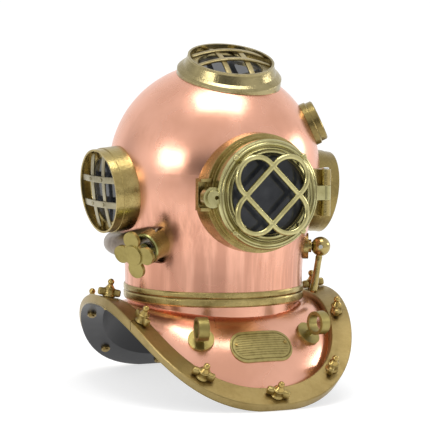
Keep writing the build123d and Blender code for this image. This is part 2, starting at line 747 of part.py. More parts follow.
with BuildPart() as bonnet_shell:
    add(dome_core.part)
    add(dome_hollow.part, mode=Mode.SUBTRACT)
    disc(front, drum_bore, dome_radius - hole_start, dome_radius + overrun, Mode.SUBTRACT)
    for side_port in (right_port, left_port):
        disc(side_port, port_bore, -port_root, 0, Mode.SUBTRACT)
    disc(top, top_spigot_radius + turning_gap, -hole_start, 0, Mode.SUBTRACT)
    disc(exhaust, exhaust_seat, -hole_start / 2, overrun, Mode.SUBTRACT)
    disc(spitcock, spindle_radius + turning_gap, -hole_start / 2, overrun, Mode.SUBTRACT)
    disc(phone, cup_bore, dome_radius - hole_start, dome_radius + overrun, Mode.SUBTRACT)
    for elbow_side in (-1, 1):
        hole_plane = radial_fitting(dome_radius, 90 - elbow_side * elbow_angle, elbow_z)
        disc(hole_plane, elbow_bore, -hole_start / 2, overrun, Mode.SUBTRACT)
    wall_foot = split_z + sheet + turning_gap
    split(bisect_by=Plane.XY.offset(wall_foot), keep=Keep.TOP)
bonnet_shell.part.label = "bonnet_shell"
export_step(bonnet_shell.part, "parts/bonnet_shell.step")

# Neck rings, locked by four lugs that turn an eighth of a turn under four lands

lug_count = 4
lug_angle = 40.0         # degrees
slot_angle = 45.0        # degrees
ring_bore = 102.0
spigot_radius = 105.7
spigot_depth = 13.0
lug_radius = 109.0
land_thickness = 4.0
ring_round = 2.0
gasket_inner = 109.8
gasket_outer = 112.6
gasket_depth = 1.5

ring_split = split_z + turning_gap
land_bottom = split_z - land_thickness
lug_top = land_bottom - turning_gap
spigot_bottom = split_z - spigot_depth
land_radius = spigot_radius + turning_gap


def neck_outline(low, high):
    """Outer corners of a neck ring, rounded by short slopes."""
    return [(ring_radius - ring_round / 2, low), (ring_radius, low + ring_round),
            (ring_radius, high - ring_round), (ring_radius - ring_round / 2, high)]


def sector(radius, angle):
    """Outline of a pie slice centred on the X axis."""
    half = radians(angle / 2)
    start = (radius * cos(half), -radius * sin(half))
    finish = (radius * cos(half), radius * sin(half))
    Line((0, 0), start)
    ThreePointArc(start, (radius, 0), finish)
    Line(finish, (0, 0))


with BuildPart() as bonnet_ring:
    turned(Plane.XY, [
        (ring_bore, spigot_bottom), (spigot_radius, spigot_bottom), (spigot_radius, ring_split),
        *neck_outline(ring_split, upper_ring_z), (bonnet_neck_radius, upper_ring_z),
        (bonnet_neck_radius, wall_foot), (ring_bore, wall_foot)])
    with BuildPart(mode=Mode.PRIVATE) as lugs:
        for lug in range(lug_count):
            turn = 360 * lug / lug_count
            with BuildSketch(Plane.XY.offset(spigot_bottom).rotated((0, 0, turn))):
                with BuildLine():
                    sector(lug_radius, lug_angle)
                make_face()
        extrude(amount=lug_top - spigot_bottom)
        disc(Plane.XY, spigot_radius, spigot_bottom, lug_top, Mode.SUBTRACT)
    add(lugs.part)
    add(bonnet_shell.part, mode=Mode.SUBTRACT)
bonnet_ring.part.label = "bonnet_ring"
export_step(bonnet_ring.part, "parts/bonnet_ring.step")

with BuildPart() as neck_gasket:
    turned(Plane.XY, [
        (gasket_inner, split_z - gasket_depth), (gasket_outer, split_z - gasket_depth),
        (gasket_outer, split_z), (gasket_inner, split_z)])
neck_gasket.part.label = "neck_gasket"
export_step(neck_gasket.part, "parts/neck_gasket.step")

# Breastplate sheet, lofted through sections in planes that contain the bonnet's axis

sheet_bulge = 22.0       # degrees between the sheet's chord and each end of its curve
curve_reach_share = 0.35 # how far the sheet's curve holds its end directions


def rim_radius(angle):
    """Distance of the rim from the axis."""
    turn = radians(angle)
    across = (abs(cos(turn)) / rim_half_width) ** rim_power
    along = (abs(sin(turn)) / rim_half_depth) ** rim_power
    return (across + along) ** (-1 / rim_power)


def rim_waves(angle):
    """Twofold and fourfold waves of the rim: the first is 1 at a shoulder, -1 front and back."""
    x = rim_radius(angle) * abs(cos(radians(angle)))
    twofold = 2 * (x / rim_half_width) ** rim_power - 1
    return twofold, 2 * twofold ** 2 - 1


def section_plane(angle):
    """Plane through the bonnet's axis: its x points outward and its y points up."""
    turn = radians(angle)
    return Plane(origin=(0, 0, 0), x_dir=(cos(turn), sin(turn), 0), z_dir=(sin(turn), -cos(turn), 0))


def rim_edge(angle):
    """Rim's lower edge, the strap's outward direction and its upward normal in the section."""
    twofold, fourfold = rim_waves(angle)
    edge = Vector(rim_radius(angle), rim_mean_z + rim_swing * twofold + rim_flatten * fourfold)
    slope = radians(brail_slope - brail_slope_swing * twofold - brail_slope_flatten * fourfold)
    return edge, Vector(cos(slope), -sin(slope)), Vector(sin(slope), cos(slope))


def sheet_curve(angle):
    """Control points of the sheet's upper curve, from the crease to the strap's inner edge."""
    twofold, fourfold = rim_waves(angle)
    edge, outward, normal = rim_edge(angle)
    crease = Vector(collar_radius, crease_mean_z + crease_swing * twofold)
    inner_edge = edge + normal * sheet - outward * brail_width
    chord = inner_edge - crease
    leave = atan2(chord.Y, chord.X) + radians(sheet_bulge)
    arrive = atan2(chord.Y, chord.X) - radians(sheet_bulge)
    reach = curve_reach_share * chord.length
    return [crease, crease + Vector(cos(leave), sin(leave)) * reach,
            inner_edge - Vector(cos(arrive), sin(arrive)) * reach, inner_edge]


def curve_place(angle, share):
    """World point and true normal of the sheet's curve at a share of the way to the strap."""
    def world(at_angle, at_share):
        points = sheet_curve(at_angle)
        rest = 1 - at_share
        flat = (points[0] * rest ** 3 + points[1] * (3 * rest ** 2 * at_share)
                + points[2] * (3 * rest * at_share ** 2) + points[3] * at_share ** 3)
        return polar(flat.X, at_angle, flat.Y)
    small_turn = 0.5
    small_share = 0.01
    around = world(angle + small_turn, share) - world(angle - small_turn, share)
    down = world(angle, share + small_share) - world(angle, share - small_share)
    return world(angle, share), down.cross(around).normalized()


def strap_place(angle, share, lift):
    """World point on the strap's underside line, at a share of its width from the edge."""
    edge, outward, normal = rim_edge(angle)
    flat = edge - outward * (share * brail_width) + normal * lift
    return polar(flat.X, angle, flat.Y)


def strap_normal(angle):
    """True normal of the strap's face, which also climbs along the rim."""
    small_turn = 0.5
    around = strap_place(angle + small_turn, 0.5, 0) - strap_place(angle - small_turn, 0.5, 0)
    down = strap_place(angle, 0, 0) - strap_place(angle, 1, 0)
    return down.cross(around).normalized()


def strap_thickness(angle):
    """Strap's thickness in the section, longer where the rim climbs, so that it is even."""
    edge, outward, normal = rim_edge(angle)
    section_normal = polar(normal.X, angle, normal.Y)
    return brail_thickness / strap_normal(angle).dot(section_normal)


def sheet_outline(angle):
    """Closed section of the copper sheet: collar, crease, curve and flat rim."""
    edge, outward, normal = rim_edge(angle)
    upper = sheet_curve(angle)
    leave = (upper[1] - upper[0]).normalized()
    leave_normal = Vector(-leave.Y, leave.X)
    inside = collar_radius - sheet
    start = upper[0] - leave_normal * sheet
    start = start + leave * ((inside - start.X) / leave.X)
    arrive = (upper[3] - upper[2]).normalized()
    arrive_normal = Vector(-arrive.Y, arrive.X)
    fold = (normal + arrive_normal) * (sheet / (1 + normal.dot(arrive_normal)))
    lower = [start, upper[1] - leave_normal * sheet, upper[2] - arrive_normal * sheet,
             upper[3] - fold]
    collar_top = land_bottom
    Polyline((inside, collar_top), (collar_radius, collar_top), (upper[0].X, upper[0].Y))
    Bezier(*[(point.X, point.Y) for point in upper])
    outer = edge + normal * sheet
    Polyline((upper[3].X, upper[3].Y), (outer.X, outer.Y), (edge.X, edge.Y),
             (lower[3].X, lower[3].Y))
    Bezier(*[(point.X, point.Y) for point in reversed(lower)])
    Line((lower[0].X, lower[0].Y), (inside, collar_top))


section_step = 15
half_turn = range(-90 - section_step, 91 + section_step, section_step)
stud_angles = (0, 30, 60.5, 90, 119.5, 150, 180, 210, 240.5, 270, 299.5, 330)
stud_radius = 3.6
stud_under = 5.0         # thread that shows inside the breastplate
stud_head_radius = 6.0
stud_head = 3.0


def stud_plane(angle):
    """Plane on the sheet's underside at the middle of the strap, square to the strap."""
    around = strap_place(angle + 1, 0.5, 0) - strap_place(angle - 1, 0.5, 0)
    return Plane(origin=strap_place(angle, 0.5, 0), x_dir=around.normalized(),
                 z_dir=strap_normal(angle))


def stud_holes():
    """Cut every stud's hole in the part at hand."""
    for angle in stud_angles:
        disc(stud_plane(angle), stud_radius + turning_gap, -overrun,
             sheet + brail_thickness + overrun, Mode.SUBTRACT)


plate_share = 0.44       # place of the name plate down the sheet's curve
rivet_radius = 2.2
rivet_height = 1.0
rivet_offset = 34.5
plate_point, plate_normal = curve_place(270, plate_share)
plate_plane = Plane(origin=plate_point, x_dir=(1, 0, 0), z_dir=plate_normal)
rivet_turn = degrees(atan2(rivet_offset, hypot(plate_point.X, plate_point.Y)))
rivet_planes = []
for rivet_angle in (270 - rivet_turn, 270 + rivet_turn):
    rivet_point, rivet_normal = curve_place(rivet_angle, plate_share)
    rivet_planes.append(Plane(origin=rivet_point, z_dir=rivet_normal))

with BuildPart() as breastplate_shell:
    for angle in half_turn:
        with BuildSketch(section_plane(angle)):
            with BuildLine():
                sheet_outline(angle)
            make_face()
    loft()
    split(bisect_by=Plane.YZ, keep=Keep.TOP)
    mirror(about=Plane.YZ)
    split(bisect_by=Plane.XY, keep=Keep.TOP)
    stud_holes()
    for rivet_plane in rivet_planes:
        disc(rivet_plane, rivet_radius, -overrun, overrun, Mode.SUBTRACT)
breastplate_shell.part.label = "breastplate_shell"
export_step(breastplate_shell.part, "parts/breastplate_shell.step")

with BuildPart() as breastplate_ring:
    turned(Plane.XY, [
        (collar_radius, lower_ring_z), *neck_outline(lower_ring_z, split_z),
        (gasket_outer, split_z), (gasket_outer, split_z - gasket_depth),
        (gasket_inner, split_z - gasket_depth), (gasket_inner, split_z), (land_radius, split_z),
        (land_radius, land_bottom), (collar_radius, land_bottom)])
    for slot in range(lug_count):
        turn = 360 * (slot + 0.5) / lug_count
        with BuildSketch(Plane.XY.offset(land_bottom - sheet).rotated((0, 0, turn))):
            with BuildLine():
                sector(lug_radius + turning_gap, slot_angle)
            make_face()
        extrude(amount=land_thickness + 2 * sheet, mode=Mode.SUBTRACT)
    add(breastplate_shell.part, mode=Mode.SUBTRACT)
breastplate_ring.part.label = "breastplate_ring"
export_step(breastplate_ring.part, "parts/breastplate_ring.step")

# Four brails, which butt together under the studs beside the shoulders

brail_joint = 30.0       # degrees from the shoulder
joint_gap = 0.15         # half the gap between two brails, in degrees
brail_edge = 1.2
cut_radius = 400.0       # reach of the cutters that part the brails, beyond the rim
brails = (
    ("left_brail", 0, 2 * brail_joint), ("back_brail", 90, 180 - 2 * brail_joint),
    ("right_brail", 180, 2 * brail_joint), ("front_brail", 270, 180 - 2 * brail_joint))

with BuildPart() as strap:
    for angle in half_turn:
        edge, outward, normal = rim_edge(angle)
        low_outer = edge + normal * sheet
        low_inner = low_outer - outward * brail_width
        rise = normal * strap_thickness(angle)
        bevel = rise * (brail_edge / brail_thickness)
        corners = [low_inner, low_outer, low_outer + rise - bevel,
                   low_outer + rise - outward * brail_edge,
                   low_inner + rise + outward * brail_edge, low_inner + rise - bevel]
        with BuildSketch(section_plane(angle)):
            with BuildLine():
                Polyline(*[(corner.X, corner.Y) for corner in corners], close=True)
            make_face()
    loft()
    split(bisect_by=Plane.YZ, keep=Keep.TOP)
    mirror(about=Plane.YZ)
    split(bisect_by=Plane.XY, keep=Keep.TOP)
    add(breastplate_shell.part, mode=Mode.SUBTRACT)
    stud_holes()

for brail_name, brail_middle, brail_span in brails:
    with BuildPart() as brail:
        with BuildSketch(Plane.XY.rotated((0, 0, brail_middle))):
            with BuildLine():
                sector(cut_radius, brail_span - 2 * joint_gap)
            make_face()
        extrude(amount=lower_ring_z + overrun)
        add(strap.part, mode=Mode.INTERSECT)
    brail.part.label = brail_name
    export_step(brail.part, f"parts/{brail_name}.step")

# Studs through the rim, with a wing nut and a ball-topped cap on each

nut_radius = 7.0
nut_height = 12.0
wing_span = 29.0
wing_width = 8.0
wing_height = 8.5
wing_lift = 1.0          # wings stand clear of the strap
cap_base_radius = 6.2
cap_cone_height = 4.5
cap_neck_radius = 3.2
cap_ball_radius = 4.3
wing_turns = (75, 10, -12, 20, 8, -10, 80, -8, 12, -25, 6, -10)   # degrees from the rim's run

nut_low = sheet + brail_thickness
nut_top = nut_low + nut_height
stud_top = nut_top + cap_cone_height / 2

with BuildPart() as rim_studs:
    for angle in stud_angles:
        disc(stud_plane(angle), stud_radius, -stud_under, stud_top)
        disc(stud_plane(angle), stud_head_radius, -stud_head, sheet / 2)
    add(breastplate_shell.part, mode=Mode.SUBTRACT)
    split(bisect_by=Plane.XY, keep=Keep.TOP)
rim_studs.part.label = "rim_studs"
export_step(rim_studs.part, "parts/rim_studs.step")

with BuildPart() as wing_nuts:
    for angle, wing_turn in zip(stud_angles, wing_turns):
        seat = stud_plane(angle).offset(nut_low)
        with BuildSketch(seat):
            Circle(nut_radius)
        extrude(amount=nut_height)
        with BuildSketch(seat.offset(wing_lift)):
            Rectangle(wing_span, wing_width, rotation=wing_turn)
        extrude(amount=wing_height)
    for angle in stud_angles:
        disc(stud_plane(angle), stud_radius, 0, stud_top + overrun, Mode.SUBTRACT)
    add(strap.part, mode=Mode.SUBTRACT)
wing_nuts.part.label = "wing_nuts"
export_step(wing_nuts.part, "parts/wing_nuts.step")

with BuildPart() as stud_caps:
    ball_height = nut_top + cap_cone_height + 0.75 * cap_ball_radius
    for angle in stud_angles:
        turned(stud_plane(angle), [
            (0, nut_top), (cap_base_radius, nut_top), (cap_neck_radius, nut_top + cap_cone_height),
            (0, nut_top + cap_cone_height)])
        with Locations(stud_plane(angle).offset(ball_height).origin):
            Sphere(cap_ball_radius)
    for angle in stud_angles:
        disc(stud_plane(angle), stud_radius, 0, stud_top, Mode.SUBTRACT)
stud_caps.part.label = "stud_caps"
export_step(stud_caps.part, "parts/stud_caps.step")

# Lanyard eyes on the chest: a flange, a short stem and a wide eye whose hole runs left to right

eye_angle = 30.0         # degrees either side of the front
eye_share = 0.50         # place down the sheet's curve
eye_flange_radius = 16.5
eye_flange_height = 3.2
eye_sink = 3.0
eye_hollow_radius = 12.5 # flange's underside is hollow, so that only its edge sinks in
eye_reach = 25.0
eye_stem_radius = 4.0
eye_radius = 15.0
eye_bore = 11.0
eye_width = 13.5
right_eye_turn = 171.0   # degrees, ways that the two holes face
left_eye_turn = 195.0

for eye_name, eye_side, eye_turn in (
        ("right_lanyard_eye", -1, right_eye_turn), ("left_lanyard_eye", 1, left_eye_turn)):
    eye_point, eye_normal = curve_place(270 + eye_side * eye_angle, eye_share)
    eye_plane = Plane(origin=eye_point, x_dir=eye_normal.cross(Vector(0, 0, 1)), z_dir=eye_normal)
    eye_centre = eye_point + eye_normal * eye_reach
    eye_hole = Plane(origin=eye_centre, x_dir=polar(1, eye_turn + 90, 0),
                     z_dir=polar(1, eye_turn, 0))
    with BuildPart() as lanyard_eye:
        disc(eye_plane, eye_flange_radius, -eye_sink, eye_flange_height)
        disc(eye_plane, eye_hollow_radius, -overrun, -sheet / 2, Mode.SUBTRACT)
        disc(eye_plane, eye_stem_radius, eye_flange_height, eye_reach)
        disc(eye_hole, eye_radius, -eye_width / 2, eye_width / 2)
        disc(eye_hole, eye_bore, -eye_width, eye_width, Mode.SUBTRACT)
        add(breastplate_shell.part, mode=Mode.SUBTRACT)
        for scrap in lanyard_eye.solids().sort_by(SortBy.VOLUME)[:-1]:
            add(scrap, mode=Mode.SUBTRACT)
    lanyard_eye.part.label = eye_name
    export_step(lanyard_eye.part, f"parts/{eye_name}.step")

# Name plate on the chest, bent to the sheet, with two rivets

plate_width = 84.0
plate_height = 44.0
plate_corner = 20.0
plate_thickness = 1.6
plate_gap = 0.15         # over the sheet, whose curve runs on from section to section
plate_angles = (-60, -45, -30, -15, 0, 15, 30, 45, 60)

with BuildPart() as name_plate:
    for angle in plate_angles:
        sheet_points = sheet_curve(270 + angle)
        leave = (sheet_points[1] - sheet_points[0]).normalized()
        arrive = (sheet_points[3] - sheet_points[2]).normalized()
        leave_normal = Vector(-leave.Y, leave.X)
        arrive_normal = Vector(-arrive.Y, arrive.X)
        lifts = (leave_normal, leave_normal, arrive_normal, arrive_normal)
        lower = [point + lift * plate_gap for point, lift in zip(sheet_points, lifts)]
        upper = [point + lift * plate_thickness for point, lift in zip(lower, lifts)]
        with BuildSketch(section_plane(270 + angle)):
            with BuildLine():
                Bezier(*[(point.X, point.Y) for point in lower])
                Line((lower[3].X, lower[3].Y), (upper[3].X, upper[3].Y))
                Bezier(*[(point.X, point.Y) for point in reversed(upper)])
                Line((upper[0].X, upper[0].Y), (lower[0].X, lower[0].Y))
            make_face()
    loft()
    with BuildSketch(plate_plane.offset(-overrun)):
        RectangleRounded(plate_width, plate_height, plate_corner)
    extrude(amount=2 * overrun, mode=Mode.INTERSECT)
    for rivet_plane in rivet_planes:
        disc(rivet_plane, rivet_radius, -overrun, overrun, Mode.SUBTRACT)
name_plate.part.label = "name_plate"
export_step(name_plate.part, "parts/name_plate.step")

with BuildPart() as plate_rivets:
    for rivet_plane in rivet_planes:
        disc(rivet_plane, rivet_radius, -sheet, plate_thickness + rivet_height)
plate_rivets.part.label = "plate_rivets"
export_step(plate_rivets.part, "parts/plate_rivets.step")
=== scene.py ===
import bpy
import numpy as np
from mathutils import Matrix, Vector


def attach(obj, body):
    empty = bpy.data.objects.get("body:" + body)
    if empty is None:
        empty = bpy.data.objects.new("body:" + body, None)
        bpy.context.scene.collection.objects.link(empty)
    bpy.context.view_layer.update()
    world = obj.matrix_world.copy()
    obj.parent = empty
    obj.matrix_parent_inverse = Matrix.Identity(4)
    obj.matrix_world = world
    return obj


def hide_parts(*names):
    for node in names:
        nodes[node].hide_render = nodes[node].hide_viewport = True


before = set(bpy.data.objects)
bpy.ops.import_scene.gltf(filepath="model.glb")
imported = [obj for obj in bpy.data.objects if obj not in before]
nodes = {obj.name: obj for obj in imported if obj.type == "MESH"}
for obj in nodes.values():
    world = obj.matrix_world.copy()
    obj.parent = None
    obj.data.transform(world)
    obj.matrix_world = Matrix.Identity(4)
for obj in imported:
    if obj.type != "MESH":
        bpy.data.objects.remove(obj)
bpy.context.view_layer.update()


# Bonnet and breastplate sheet. Both are spun and beaten from soft copper sheet, 2 mm thick,
# and polished. Inside, the bonnet is tinned grey and the breastplate is painted black.

rim_half_width = 0.1653
rim_half_depth = 0.1986
rim_power = 2.27
browned_rim_share = 0.988
wall_foot = (0.128, 0.136)
wall_head = (0.215, 0.275)
dull_copper = (0.78, 0.39, 0.262)
bright_copper = (0.89, 0.47, 0.335)
wiped_copper = (0.60, 0.28, 0.175)
# The next colour is painted reflection: the darker room, shown as vertical streaks low on the bonnet's
# wall.
reflection_streak_brown = (0.45, 0.20, 0.13)
rim_brown = (0.27, 0.20, 0.07)
tinned_grey = (0.23, 0.22, 0.20)
black_paint = (0.006, 0.006, 0.008)


class Wire:
    """A shader socket on which Python's operators add Math nodes."""

    def __init__(self, finish, socket):
        self.finish = finish
        self.socket = socket

    def maths(self, operation, *others):
        """The named operation of this value and the others."""
        return self.finish.node("ShaderNodeMath", {"operation": operation},
                                dict(enumerate((self,) + others)))

    def __add__(self, other):
        return self.maths("ADD", other)

    def __sub__(self, other):
        return self.maths("SUBTRACT", other)

    def __rsub__(self, other):
        return self.finish.node("ShaderNodeMath", {"operation": "SUBTRACT"}, {0: other, 1: self})

    def __mul__(self, other):
        return self.maths("MULTIPLY", other)

    def __truediv__(self, other):
        return self.maths("DIVIDE", other)

    def __gt__(self, other):
        return self.maths("GREATER_THAN", other)

    def __abs__(self):
        return self.maths("ABSOLUTE")

    __radd__ = __add__
    __rmul__ = __mul__

    def ramp(self, low, high):
        """Runs smoothly from 0 to 1 while the value runs from low to high."""
        return self.finish.node("ShaderNodeMapRange", {"interpolation_type": "SMOOTHSTEP"},
                                {"Value": self, "From Min": low, "From Max": high})


class Finish:
    """A material whose one shader is a Principled BSDF, or the studio's background."""

    def __init__(self, name, kind="materials", shader="Principled BSDF", spot="Object", **settings):
        self.material = getattr(bpy.data, kind).new(name)
        self.material.use_nodes = True
        self.tree = self.material.node_tree
        self.shader = self.tree.nodes[shader]
        for socket, value in settings.items():
            self.shader.inputs[socket.replace("_", " ")].default_value = value
        self.place = self.node("ShaderNodeTexCoord", out=spot)

    def node(self, kind, settings=None, values=None, out=0):
        """Adds a node with its settings, and a number or a link in each named socket."""
        made = self.tree.nodes.new(kind)
        for key, value in (settings or {}).items():
            setattr(made, key, value)
        for key, value in (values or {}).items():
            if isinstance(value, Wire):
                self.tree.links.new(value.socket, made.inputs[key])
            else:
                made.inputs[key].default_value = value
        return Wire(self, made.outputs[out])

    def feed(self, socket, wire):
        """Links a value to the shader's socket."""
        self.tree.links.new(wire.socket, self.shader.inputs[socket])

    def noise(self, scale, detail=3.0, rough=0.5, stretch=(1, 1, 1)):
        """Cloud pattern, about one cloud to 1/scale metres."""
        spot = self.node("ShaderNodeMapping", {}, {"Vector": self.place, "Scale": stretch})
        return self.node("ShaderNodeTexNoise", {}, {
            "Vector": spot, "Scale": scale, "Detail": detail, "Roughness": rough})

    def mix(self, share, first, second):
        """Colour that runs from the first to the second with the share."""
        first, second = (colour if isinstance(colour, Wire) else (*colour, 1) for colour in (first, second))
        return self.node("ShaderNodeMix", {"data_type": "RGBA"}, {0: share, 6: first, 7: second}, 2)

    def split(self, wire):
        """The three coordinates of a vector."""
        made = self.tree.nodes.new("ShaderNodeSeparateXYZ")
        self.tree.links.new(wire.socket, made.inputs[0])
        return [Wire(self, out) for out in made.outputs]

    def relief(self, height, distance, edge=0.0):
        """Bump from a height, over edges that are worn round to a radius."""
        values = {"Height": height, "Distance": distance, "Strength": 1.0}
        if edge:
            values["Normal"] = self.node("ShaderNodeBevel", {"samples": 6}, {"Radius": edge})
        self.feed("Normal", self.node("ShaderNodeBump", {}, values))

    def dress(self, *names):
        """Puts this material on the CAD nodes of those names."""
        for name in names:
            slots = nodes[name].data.materials
            slots.clear()
            slots.append(self.material)


def outside_of(finish, rise):
    """Is 1 where a face looks away from the axis, counting a share of its upward look."""
    x, y, _ = finish.split(finish.place)
    nx, ny, nz = finish.split(finish.node("ShaderNodeTexCoord", out="Normal"))
    radius = (x * x + y * y).maths("SQRT")
    away = (x * nx + y * ny) / radius + nz * rise
    return away > 0.0


def copper(name, inside, inside_rough, inside_metal, rise, rim=False):
    """Polished copper sheet, a little darker and duller in clouds, with brown vertical streaks low on the
    bonnet's wall that are painted reflections of the darker room, and with a painted inside. The
    breastplate's outer edge, where the rim's oval sum nears 1, is browned like the straps that cover it."""
    made = Finish(name, Metallic=1.0, Roughness=0.24)
    clouds = made.noise(11.0, 4.0, 0.55)
    wiped = made.noise(38.0, 3.0, 0.6, (1.0, 1.0, 0.22))
    fresh = made.mix(clouds.ramp(0.34, 0.68), dull_copper, bright_copper)
    worn = made.mix(wiped.ramp(0.56, 0.86) * 0.35, fresh, wiped_copper)
    out = outside_of(made, rise)
    x, y, z = made.split(made.place)
    # Painted reflection: brown vertical streaks low on the bonnet's wall stand in for the darker room
    # mirrored in it.
    reflection_streaks = made.noise(46.0, 4.0, 0.62, (1.0, 1.0, 0.05))
    low_wall = z.ramp(*wall_foot) * (1 - z.ramp(*wall_head))
    worn = made.mix((1 - reflection_streaks.ramp(0.36, 0.62)) * low_wall * 0.6, worn, reflection_streak_brown)
    if rim:
        across = (abs(x) / rim_half_width).maths("POWER", rim_power)
        along = (abs(y) / rim_half_depth).maths("POWER", rim_power)
        worn = made.mix(across + along > browned_rim_share, worn, rim_brown)
    made.feed("Base Color", made.mix(out, inside, worn))
    rough = 0.21 + clouds.ramp(0.3, 0.7) * 0.07 + wiped * 0.04
    made.feed("Roughness", rough * out + (1 - out) * inside_rough)
    made.feed("Metallic", out + (1 - out) * inside_metal)
    made.relief(made.noise(16.0, 2.0, 0.5), distance=0.0009, edge=0.0006)
    return made


bonnet_copper = copper("bonnet_copper", tinned_grey, inside_rough=0.45, inside_metal=0.8, rise=0.35)
bonnet_copper.dress("bonnet_shell")
breastplate_copper = copper("breastplate_copper", black_paint, inside_rough=0.32, inside_metal=0.0,
                            rise=1.0, rim=True)
breastplate_copper.dress("breastplate_shell")


# Brass castings. Frames, retaining rings, neck rings, elbows, valves and the spitcock are cast
# brass, turned bright, soldered or screwed to the copper, and browned by age, darker in the
# clouds where hands don't reach.

def brass(name, pale, brown, rough, age=0.5, edge=0.0007, scale=30.0, bump=0.00025):
    """Cast brass: pale where rubbed, brown where aged, with worn round edges."""
    made = Finish(name, Metallic=1.0, Roughness=rough)
    clouds = made.noise(scale, 5.0, 0.6)
    specks = made.noise(scale * 9, 3.0, 0.65)
    tone = (clouds * 0.75 + specks * 0.25).ramp(0.36 - age / 5, 0.64)
    made.feed("Base Color", made.mix(tone, brown, pale))
    made.feed("Roughness", rough + (1 - tone) * 0.12 + specks * 0.06)
    made.relief(specks, bump, edge)
    return made


frame_brass = brass("frame_brass", (0.46, 0.36, 0.145), (0.27, 0.20, 0.07), 0.2)
frame_brass.dress("front_port_frame", "right_port_frame", "latch_keeper",
                  "right_port_retainer", "bonnet_ring", "breastplate_ring")
# Painted shade: a darker copy of the frame brass for the left port's frame and retainer on the bonnet's far
# side. The phone cup and cap take it too.
dark_and_shaded_brass = brass("dark_and_shaded_brass", (0.33, 0.25, 0.09), (0.19, 0.135, 0.05), 0.2)
dark_and_shaded_brass.dress("left_port_frame", "left_port_retainer", "phone_cup", "phone_cap")
top_brass = brass("top_brass", (0.40, 0.335, 0.17), (0.25, 0.20, 0.09), 0.18, age=0.6)
top_brass.dress("top_port_frame", "top_port_retainer")
valve_brass = brass("valve_brass", (0.36, 0.36, 0.14), (0.22, 0.21, 0.075), 0.2)
valve_brass.dress("exhaust_body", "air_elbow", "phone_elbow", "air_check_valve")
cock_brass = brass("cock_brass", (0.42, 0.33, 0.13), (0.25, 0.18, 0.06), 0.2)
cock_brass.dress("spitcock_body", "spitcock_spindle")
wheel_brass = brass("wheel_brass", (0.37, 0.30, 0.105), (0.24, 0.19, 0.06), 0.34, age=0.6)
wheel_brass.dress("exhaust_wheel", "left_lanyard_eye", "right_lanyard_eye")


# Front door. Ring, bezel and wire guard are pale yellow brass, rubbed bright by handling.
# Four domed screws hold the guard's feet.

door_centre_height = 0.2653
ridge_pitch = 0.0052
ridge_start = 1.1
ridges_from = (0.0485, 0.0495)
ridges_to = (0.0655, 0.0665)
groove_shade_brown = (0.17, 0.13, 0.045)


def door_ring_brass():
    """Pale brass with four turned ridges around the door's centre, the sine of the distance from it
    over their pitch, with painted shade in brown in the grooves between."""
    made = Finish("ring_brass", Metallic=1.0, Roughness=0.2)
    x, _, z = made.split(made.place)
    up = z - door_centre_height
    radius = (x * x + up * up).maths("SQRT")
    ridge = (radius * (2 * np.pi / ridge_pitch) + ridge_start).maths("SINE")
    on_face = radius.ramp(*ridges_from) * (1 - radius.ramp(*ridges_to))
    # Painted shade: the grooves between the bumped ridges are darkened in colour.
    groove_shade = (0 - ridge).ramp(0.25, 0.95) * on_face
    clouds = made.noise(30.0, 5.0, 0.6)
    pale = made.mix(clouds.ramp(0.3, 0.68), (0.36, 0.32, 0.135), (0.56, 0.52, 0.26))
    made.feed("Base Color", made.mix(groove_shade * 0.75, pale, groove_shade_brown))
    made.feed("Roughness", 0.19 + (1 - clouds) * 0.12)
    made.relief(ridge * on_face, distance=0.0006, edge=0.0007)
    return made


door_ring_brass().dress("door_ring", "door_bezel")
door_brass = brass("door_brass", (0.55, 0.50, 0.24), (0.34, 0.295, 0.12), 0.2, age=0.45)
door_brass.dress("door_guard", "guard_screws")


# Glasses, gaskets and steel parts. The plate glasses look dark, as the inside of the bonnet is,
# the gaskets are black rubber, and the stem, spring, pin and set screw are turned steel.

glass = Finish("plate_glass", Base_Color=(0.012, 0.015, 0.02, 1), Roughness=0.05, IOR=1.52)
# The same clouds make the glass rougher where it is smeared and paint paler grey into its colour, a painted
# reflection.
smear_and_reflection_clouds = glass.noise(20.0, 3.0, 0.6)
clean_glass = (0.014, 0.016, 0.021)
reflection_and_smear_grey = (0.065, 0.069, 0.078)
glass.feed("Roughness", 0.04 + smear_and_reflection_clouds.ramp(0.45, 0.8) * 0.16)
glass.feed("Base Color", glass.mix(smear_and_reflection_clouds.ramp(0.3, 0.8), clean_glass, reflection_and_smear_grey))
glass.dress("door_glass", "right_port_glass", "left_port_glass", "top_port_glass")

rubber = Finish("black_rubber", Base_Color=(0.02, 0.02, 0.02, 1), Roughness=0.7)
rubber.feed("Roughness", 0.6 + rubber.noise(90.0) * 0.25)
rubber.dress("neck_gasket", "door_seal", "door_glass_gasket", "right_port_gasket",
             "left_port_gasket", "top_port_gasket", "exhaust_disc")

steel = brass("turned_steel", (0.62, 0.62, 0.60), (0.42, 0.41, 0.39), 0.24, age=0.3, edge=0.0003)
steel.dress("exhaust_stem", "exhaust_spring", "hinge_pin", "spitcock_set_screw")


# Brails. Four rolled brass straps clamp the suit's collar to the rim, held down by twelve studs.
# Age has turned them a dull olive brown, bright only along their rubbed edges.

strap_brass = brass("strap_brass", (0.37, 0.275, 0.11), (0.24, 0.17, 0.06), 0.33, age=0.6,
                    edge=0.0009, scale=22.0)
strap_brass.dress("front_brail", "back_brail", "left_brail", "right_brail", "rim_studs")


# Wing nuts. Each stud carries a cast brass nut: a waisted hub with a flange at both ends and
# two blunt wings, cast in sand and left as it came, with bright tops.

